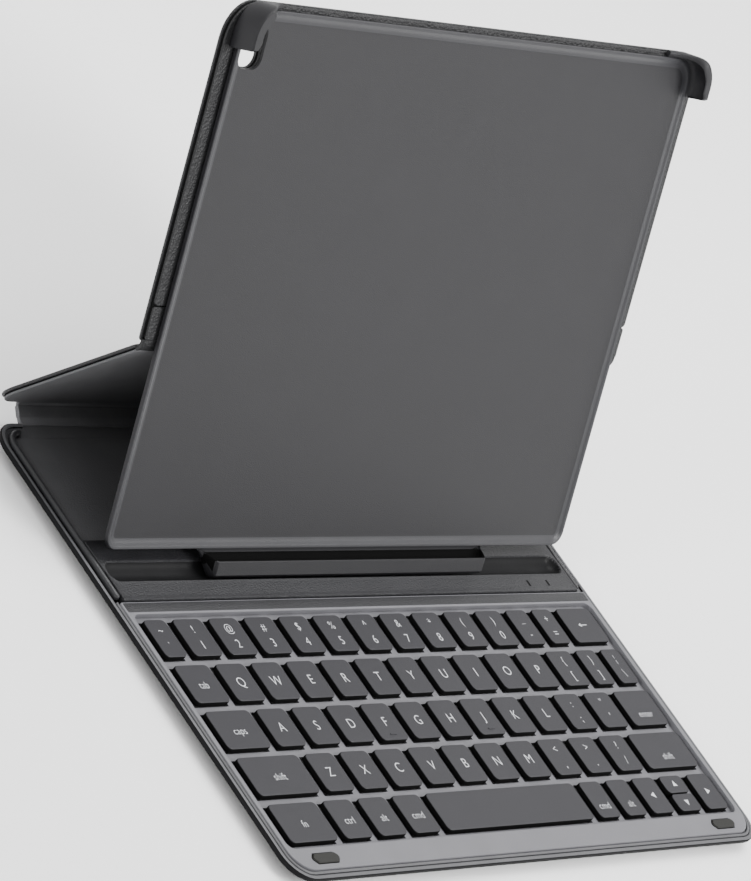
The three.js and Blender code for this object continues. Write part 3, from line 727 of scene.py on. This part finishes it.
def add_platform():
    """Leather pad as a height field: its grid lines crowd at the trough and at the edges."""
    half_xs = [
        0, 30, 60, 90, 110, 118, 119.2, 120, 120.8, 121.6, 122.2, 122.8, 123.2, 123.5, 123.9, 124.2,
        PLATFORM_HALF_W,
    ]
    xs = [-x for x in reversed(half_xs[1:])] + half_xs
    ys = [
        SEAM_Y + 0.3, SEAM_Y + 0.6, SEAM_Y + 1.2, SEAM_Y + 1.6, 20, 22, 24, 24.4, 24.9, 25.1, 25.3, 25.7,
        26.3, 27, 28, 29.15, 30.3, 31.3, 32, 32.6, 33, 33.2, 33.4, 33.7, 34, 36, 39, 41.4, 41.9,
        PLATFORM_BACK,
    ]
    foot_share = 0.992
    shape = bmesh.new()
    top = [[shape.verts.new((x, y, platform_height(x, y))) for x in xs] for y in ys]
    for a, b in zip(top, top[1:]):
        for i in range(len(xs) - 1):
            shape.faces.new((a[i], a[i + 1], b[i + 1], b[i]))
    rim = top[0] + [row[-1] for row in top[1:]] + top[-1][-2::-1] + [row[0] for row in top[-2:0:-1]]
    foot = [shape.verts.new((v.co.x * foot_share, v.co.y, PLATFORM_BOTTOM)) for v in rim]
    for i in range(len(rim)):
        j = (i + 1) % len(rim)
        shape.faces.new((rim[i], rim[j], foot[j], foot[i]))
    shape.faces.new(foot)
    # Trough faces take the darker trough material: painted shade in the groove.
    for face in shape.faces:
        face.material_index = 1 if in_trough(face.calc_center_median()) else 0
    made = piece("platform_pad", shape, "platform_leather", sharp=45, extra=("trough",))
    finish_piece(made, "base", "platform_leather", "platform")

    slots = bmesh.new()
    low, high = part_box("indicator_light_guide")
    y = (low.y + high.y) / 2 / MM
    for x in (low.x / MM + WINDOW_HALF_W, high.x / MM - WINDOW_HALF_W):
        add_box(
            slots, x - WINDOW_HALF_W, x + WINDOW_HALF_W, y - WINDOW_HALF_D, y + WINDOW_HALF_D,
            DECK_TOP - 0.6, DECK_TOP + 0.06,
        )
    finish_piece(piece("indicator_windows", slots, "lens"), "base", "lens", "indicator_light_guide")


def add_lining():
    """Floor of the rear of the base, with a tongue towards the spine and a shoulder on each side."""
    edge = PIPING_X - PIPING_RADIUS - 0.2
    back = PIPING_TURN_Y + PIPING_CORNER - PIPING_RADIUS - 0.3

    def outline(inset):
        front = PLATFORM_BACK + 0.3 + inset
        return rounded(-edge + inset, edge - inset, front, back - inset, 1, 5.2, steps=8)
    floor = slab(outline, [(0, LINING_BOTTOM), (0, LINING_TOP - 0.15), (0.15, LINING_TOP)])
    finish_piece(piece("rear_floor", floor, "lining"), "base", "lining", "rear_lining")
    tongues = [
        ("rear_tongue", -SPINE_HALF_W, SPINE_HALF_W, TONGUE_BACK),
        ("rear_shoulder_left", -SHOULDER_X, -SPINE_HALF_W, SHOULDER_BACK),
        ("rear_shoulder_right", SPINE_HALF_W, SHOULDER_X, SHOULDER_BACK),
    ]
    for name, x0, x1, rear in tongues:
        points = rounded(x0, x1, back, rear, 0.1)
        tongue = loft([level(points, LINING_BOTTOM), level(points, LINING_TOP)])
        finish_piece(piece(name, tongue, "lining"), "base", "lining")


def piping_stations():
    """Points along the piping, as (x, y, turn, share of the radius): it tapers at its front end."""
    taper = 1.1
    straight_steps = 8
    turn_steps = 12
    stations = []
    for along, share in ((0, 0.35), (0.25, 0.75), (0.6, 0.95), (taper, 1)):
        stations.append((PIPING_X, PIPING_START_Y + along, 0, share))
    for i in range(1, straight_steps + 1):
        y = PIPING_START_Y + taper + (PIPING_TURN_Y - PIPING_START_Y - taper) * i / straight_steps
        stations.append((PIPING_X, y, 0, 1))
    for i in range(1, turn_steps + 1):
        turn = math.radians(90 * i / turn_steps)
        x = PIPING_X - PIPING_CORNER + PIPING_CORNER * math.cos(turn)
        stations.append((x, PIPING_TURN_Y + PIPING_CORNER * math.sin(turn), turn, 1))
    return stations


def add_piping():
    """Round piping along both sides of the rear lining and round its corners."""
    around = 16
    for side, name in ((-1, "left"), (1, "right")):
        rings = []
        for x, y, turn, share in piping_stations():
            ring = []
            for k in range(around):
                a = 2 * math.pi * k / around
                out = PIPING_RADIUS * share * math.cos(a)
                up = PIPING_RADIUS * share * math.sin(a)
                ring.append((side * (x + out * math.cos(turn)), y + out * math.sin(turn), PIPING_Z + up))
            rings.append(ring)
        # The piping takes a lighter copy of the leather: painted highlight.
        made = piece(f"piping_{name}", loft(rings), "piping", sharp=50)
        finish_piece(made, "base", "leather", f"side_piping_{name}")


# ------------------------------------------------------------------ folding back


def section_strip(path, thickness, half_w):
    """Soft strip along X over a path in Y and Z, with rounded ends."""
    def ring(x, share):
        left, right = [], []
        for i, (y, z) in enumerate(path):
            y0, z0 = path[max(i - 1, 0)]
            y1, z1 = path[min(i + 1, len(path) - 1)]
            size = math.hypot(y1 - y0, z1 - z0)
            ny, nz = -(z1 - z0) / size, (y1 - y0) / size
            half = thickness / 2 * share
            left.append((x, y + ny * half, z + nz * half))
            right.append((x, y - ny * half, z - nz * half))
        return left + right[::-1]
    ends = [(half_w, 0.45), (half_w - 0.15, 0.8), (half_w - 0.5, 1)]
    stations = [(-x, share) for x, share in ends] + [(0, 1)] + [(x, share) for x, share in reversed(ends)]
    return loft([ring(x, share) for x, share in stations])


def bend_path(hinge, before, after, reach):
    """Rounded path through a fold, between the directions of its two panels."""
    here = hinge_point(hinge)
    start = (here.y - reach * math.cos(before), here.z - reach * math.sin(before))
    end = (here.y + reach * math.cos(after), here.z + reach * math.sin(after))
    steps = 8
    path = []
    for i in range(steps + 1):
        t = i / steps
        first, middle, last = (1 - t) ** 2, 2 * t * (1 - t), t * t
        path.append(tuple(
            first * a + middle * m + last * b for a, m, b in zip(start, (here.y, here.z), end)
        ))
    return path


def add_soft_fold(name, hinge, angles, reach, thickness, half_w, material):
    """Strip bent round a fold, from one of its bodies to the other."""
    path = bend_path(hinge, *angles, reach)
    made = piece(name, section_strip(path, thickness, half_w), material, sharp=50)
    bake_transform(made)


def add_spine():
    """Stiff band of the spine, and the soft strips before and behind it."""
    def outline(inset):
        return rounded(
            -SPINE_HALF_W + inset, SPINE_HALF_W - inset,
            SPINE_GAP + inset, SPINE_LENGTH - SPINE_GAP - inset, 0.5,
        )
    band = slab(outline, rounded_levels(-SPINE_HALF_T, SPINE_HALF_T, 0.3))
    # Band and soft folds take the much lighter spine leather: painted light and highlight.
    made = piece("spine_band", band, "spine_leather", SPINE_FRAME)
    finish_piece(made, "spine", "spine_leather", "spine_strip")
    soft_half_w = SPINE_HALF_W - 0.1
    add_soft_fold("base_soft_fold", "base_fold", (0, SPINE_LEAN), 1.7, 1.5,
                  soft_half_w, "spine_leather")
    add_soft_fold("flap_soft_fold", "flap_fold", (SPINE_LEAN, FLAP_LEAN), 1.9, 1.2,
                  soft_half_w, "spine_leather")


def add_flap():
    """Layers of the lower flap: outer leather, board and inner lining."""
    # name, material, slot, inset, heights, edge radius, replaced node
    layers = [
        ("flap_outer", "edge_leather", "leather", 0, (-1.25, -0.25), 0.35, "flap_cover"),
        ("flap_core", "board", "board", 0.9, (-0.3, 0.3), 0.05, "flap_board"),
        ("flap_inner", "lining", "lining", 0.5, (0.2, 1.0), 0.3, "flap_lining"),
    ]
    for name, material, slot, layer_inset, (z0, z1), radius, node in layers:
        def outline(inset):
            i = inset + layer_inset
            return rounded(
                -PANEL_HALF_W + i, PANEL_HALF_W - i, PANEL_GAP + i, FLAP_LENGTH - PANEL_GAP,
                FLAP_CORNER - i, 1.5, steps=10,
            )
        made = piece(name, slab(outline, rounded_levels(z0, z1, radius)), material, FLAP_FRAME)
        finish_piece(made, "flap", slot, node)
    add_soft_fold("tray_soft_fold", "tray_fold", (FLAP_LEAN, TRAY_LEAN), 2.2, 1.6,
                  PANEL_HALF_W - 0.5, "leather")


# ------------------------------------------------------------------ upper cover and tray


def camera_hole(grow=0.0):
    """Rod through all the layers, in the shape of the camera opening."""
    half_w, half_h = CAMERA_HALF_W + grow, CAMERA_HALF_H + grow
    points = rounded(
        CAMERA_X - half_w, CAMERA_X + half_w, CAMERA_Y - half_h, CAMERA_Y + half_h,
        CAMERA_CORNER + grow, steps=10,
    )
    return loft([level(points, -6), level(points, 12)])


def add_upper_cover():
    """Layers of the upper cover, and the band of leather between its fold and its inner layer."""
    # name, material, slot, bottom edge, inset, heights, edge radius, growth of the hole, replaced node
    layers = [
        ("upper_outer", "edge_leather", "leather", PANEL_GAP, 0, (-1.5, -0.6), 0.35, 0, "upper_cover"),
        ("upper_core", "board", "board", 2, 0.9, (-0.65, 0.3), 0.05, 0.25, "upper_board"),
        ("upper_inner", "leather", "leather", INNER_START, 0.4, (0.25, 1.0), 0.3, 0, "upper_lining"),
    ]
    for name, material, slot, bottom, layer_inset, (z0, z1), radius, wider, node in layers:
        def outline(inset):
            i = inset + layer_inset
            return rounded(
                -PANEL_HALF_W + i, PANEL_HALF_W - i, bottom, COVER_TOP - i, 1.5, COVER_CORNER - i, steps=10,
            )
        made = piece(name, slab(outline, rounded_levels(z0, z1, radius)), material, TRAY_FRAME)
        cut(made, camera_hole(wider), TRAY_FRAME)
        finish_piece(made, "upper", slot, node)

    def band_outline(inset):
        i = inset + 0.6
        return rounded(
            -PANEL_HALF_W + i, PANEL_HALF_W - i, 2.2 + inset, INNER_START - 0.5 - inset, 0.8,
        )
    band = slab(band_outline, rounded_levels(0.3, 0.95, 0.25))
    finish_piece(piece("fold_band", band, "leather", TRAY_FRAME), "upper", "leather", "fold_strip")


def ease(t):
    """Smooth step from 0 to 1."""
    t = min(max(t, 0), 1)
    return t * t * (3 - 2 * t)


def add_ledge():
    """Bottom bar of the tray. Both of its ends shrink up into the lip."""
    end_share = 0.06
    end_steps = 12

    def ring(x, share):
        points = []
        for up, forward in LEDGE_SECTION:
            low = up * share if up < 0 else up
            out = LEDGE_STEM + (forward - LEDGE_STEM) * (share if forward > 0 else 0.4 + 0.6 * share)
            points.append((x, -TRAY_BELOW_FOLD + low, LIP_FRONT + out))
        return points
    ends = []
    for i in range(end_steps + 1):
        t = i / end_steps
        ends.append((LEDGE_END - t * (LEDGE_END - LEDGE_HALF_W), end_share + (1 - end_share) * ease(t)))
    stations = [(-x, share) for x, share in ends] + [(x, share) for x, share in reversed(ends)]
    shape = loft([ring(x, share) for x, share in stations])
    # Faces of the gutter behind the bar take the near-black gap material: painted shade.
    for face in shape.faces:
        centre = face.calc_center_median()
        up, forward = centre.y + TRAY_BELOW_FOLD, centre.z - LIP_FRONT
        in_gutter = (GUTTER_UP[0] < up < GUTTER_UP[1] and GUTTER_FORWARD[0] < forward < GUTTER_FORWARD[1]
                     and abs(centre.x) < GUTTER_HALF_W)
        faces_sideways = face.normal.x ** 2 >= 0.5
        face.material_index = 1 if in_gutter and not faces_sideways else 0
    made = piece("tablet_ledge", shape, "tray", TRAY_FRAME, sharp=40, extra=("gap",))
    finish_piece(made, "upper", "tray")


def clip_path():
    """Points round a clip's outer wall, from low on the side to the top edge, with the way inwards."""
    side_steps = 8
    corner_steps = 16
    top_steps = 8
    low = CLIP_TOP - CLIP_REACH
    inner_x = CLIP_HALF_W - CLIP_REACH - 4
    straight = CLIP_REACH - CLIP_CORNER
    cx, cy = CLIP_HALF_W - CLIP_CORNER, CLIP_TOP - CLIP_CORNER
    stations = []
    for i in range(side_steps):
        stations.append((CLIP_HALF_W, low + straight * i / side_steps, -1, 0))
    for i in range(corner_steps + 1):
        a = math.radians(90 * i / corner_steps)
        c, s = math.cos(a), math.sin(a)
        stations.append((cx + CLIP_CORNER * c, cy + CLIP_CORNER * s, -c, -s))
    for i in range(1, top_steps + 1):
        stations.append((cx + (inner_x - cx) * i / top_steps, CLIP_TOP, 0, -1))
    return stations


def clip_section(share):
    """Section of a clip at a share of its length, as (distance inwards, height)."""
    rise = ease(share / 0.06 + 0.25) * ease((1 - share) / 0.42)
    height = LIP_FRONT + (CLIP_FRONT - LIP_FRONT) * rise
    lap = 1.5 + 2.4 * ease((share + 0.1) / 0.3) * ease((0.84 - share) / 0.34)
    outside = [(0.1, TRAY_BACK), (0, TRAY_BACK + 0.3), (0, height - 0.8), (0.15, height - 0.35)]
    rim = [(0.5, height - 0.05), (lap - 0.3, height), (lap, height - 0.3), (lap - 0.1, height - 0.6)]
    scoop = [
        (1.5, max(height - 1.1, TRAY_FLOOR + 2.2 * rise + 0.4)), (1.6, TRAY_FLOOR + 1.8 * rise + 0.3),
        (2.2, TRAY_FLOOR + 0.9 * rise + 0.2), (3.4, TRAY_FLOOR + 0.35 * rise + 0.1),
    ]
    return outside + rim + scoop + [(5.2, TRAY_FLOOR + 0.02), (5.2, TRAY_BACK)]


def add_clips():
    """Corner clips that hold the tablet. The left one is open at the camera opening."""
    path = clip_path()
    total = len(path) - 1
    for side, name in ((-1, "left"), (1, "right")):
        rings = []
        for i, (x, y, dx, dy) in enumerate(path):
            rings.append([(side * (x + dx * u), y + dy * u, h) for u, h in clip_section(i / total)])
        made = piece(f"corner_clip_{name}", loft(rings), "tray", TRAY_FRAME, sharp=50)
        if side < 0:
            cut(made, camera_hole(0.01), TRAY_FRAME)
        finish_piece(made, "upper", "tray")


def add_tray():
    """Moulded floor of the tray with its low lip."""
    bottom = -TRAY_BELOW_FOLD

    def outline(inset):
        return rounded(
            -TRAY_HALF_W + inset, TRAY_HALF_W - inset, bottom + inset, bottom + TRAY_H - inset,
            max(TRAY_CORNER - inset, 1.5), TRAY_TOP_CORNER - inset, steps=10,
        )
    profile = [
        (0.4, TRAY_BACK), (0, TRAY_BACK + 0.3), (0, LIP_FRONT - 0.25), (0.2, LIP_FRONT), (1, LIP_FRONT),
        (1.3, LIP_FRONT - 0.12), (1.8, LIP_FRONT - 0.45), (2.5, LIP_FRONT - 0.68), (3.4, TRAY_FLOOR),
        (4.2, TRAY_FLOOR),
    ]
    shape = slab(outline, profile)
    # Lip and fillet faces take the lighter lip material: painted highlight.
    for face in shape.faces:
        face.material_index = 1 if face.calc_center_median().z > TRAY_FLOOR + 0.02 else 0
    made = piece("tray_plate", shape, "tray", TRAY_FRAME, sharp=50, extra=("tray_lip_painted_highlight",))
    cut(made, camera_hole(), TRAY_FRAME)
    finish_piece(made, "upper", "tray", "tablet_tray")


# ------------------------------------------------------------------ stage

FLOOR_SIZE = 12
FLOOR_DROP = 0.0004
WORLD_LIGHT = 1.2

# name, kind, place, aimed at, size, power, cone of a spot light in degrees
LIGHTS = [
    ("key_light", "AREA", (0.95, -1.25, 1.3), (0, 0, 0.05), 1.0, 34, None),
    ("top_light", "AREA", (0.5, 0.5, 1.9), (0, 0, 0.05), 1.4, 40, None),
    ("side_fill", "SPOT", (-0.95, 0.09, 0.34), (0.02, 0.085, 0.01), 0.3, 120, 16),
    ("screen_light", "SPOT", (0.55, -0.5, 0.75), (0.1, 0.1, 0.14), 0.25, 28, 30),
]


def add_floor():
    """Pale studio floor; it and the lights are in metres."""
    bpy.ops.mesh.primitive_plane_add(size=FLOOR_SIZE, location=(0, 0, -FLOOR_DROP))
    floor = bpy.context.object
    floor.name = "floor"
    floor.data.materials.append(surface("floor_paint", (0.98, 0.98, 0.98), 0.9, 0.02, 2.0, 0.005))


def add_lights():
    world = bpy.data.worlds.new("studio")
    bpy.context.scene.world = world
    world.use_nodes = True
    background = world.node_tree.nodes["Background"]
    background.inputs["Color"].default_value = (1, 1, 1, 1)
    background.inputs["Strength"].default_value = WORLD_LIGHT
    for name, kind, place, target, size, power, cone in LIGHTS:
        lamp = bpy.data.lights.new(name, kind)
        lamp.energy = power
        if kind == "AREA":
            lamp.size = size
        else:
            lamp.shadow_soft_size = size
            lamp.spot_size = math.radians(cone)
            lamp.spot_blend = 1
        made = bpy.data.objects.new(name, lamp)
        made.location = place
        aim = Vector(target) - Vector(place)
        made.rotation_mode = "QUATERNION"
        made.rotation_quaternion = aim.to_track_quat("-Z", "Y")
        bpy.context.scene.collection.objects.link(made)


def add_camera():
    """Camera at the photograph's angle; back points from the case to the camera."""
    back = Vector((
        math.sin(CAMERA_AZIMUTH) * math.cos(CAMERA_ELEVATION),
        -math.cos(CAMERA_AZIMUTH) * math.cos(CAMERA_ELEVATION),
        math.sin(CAMERA_ELEVATION),
    ))
    level_right = (-back).cross(Vector((0, 0, 1))).normalized()
    level_up = level_right.cross(-back)
    c, s = math.cos(CAMERA_ROLL), math.sin(CAMERA_ROLL)
    right = level_right * c + level_up * s
    up = level_up * c - level_right * s
    data = bpy.data.cameras.new("camera")
    data.lens = CAMERA_LENS
    data.shift_x = CAMERA_SHIFT
    camera = bpy.data.objects.new("camera", data)
    matrix = Matrix((right, up, back)).transposed().to_4x4()
    matrix.translation = (CAMERA_TARGET + back * CAMERA_DISTANCE) * MM
    camera.matrix_world = matrix
    bpy.context.scene.collection.objects.link(camera)
    bpy.context.scene.camera = camera


add_base_cover()
add_edge_bead()
add_deck()
add_bumpers()
add_webs()
add_keys()
add_platform()
add_lining()
add_piping()
add_spine()
add_flap()
add_upper_cover()
add_tray()
add_ledge()
add_clips()
add_floor()
add_lights()
add_camera()

bpy.context.view_layer.update()
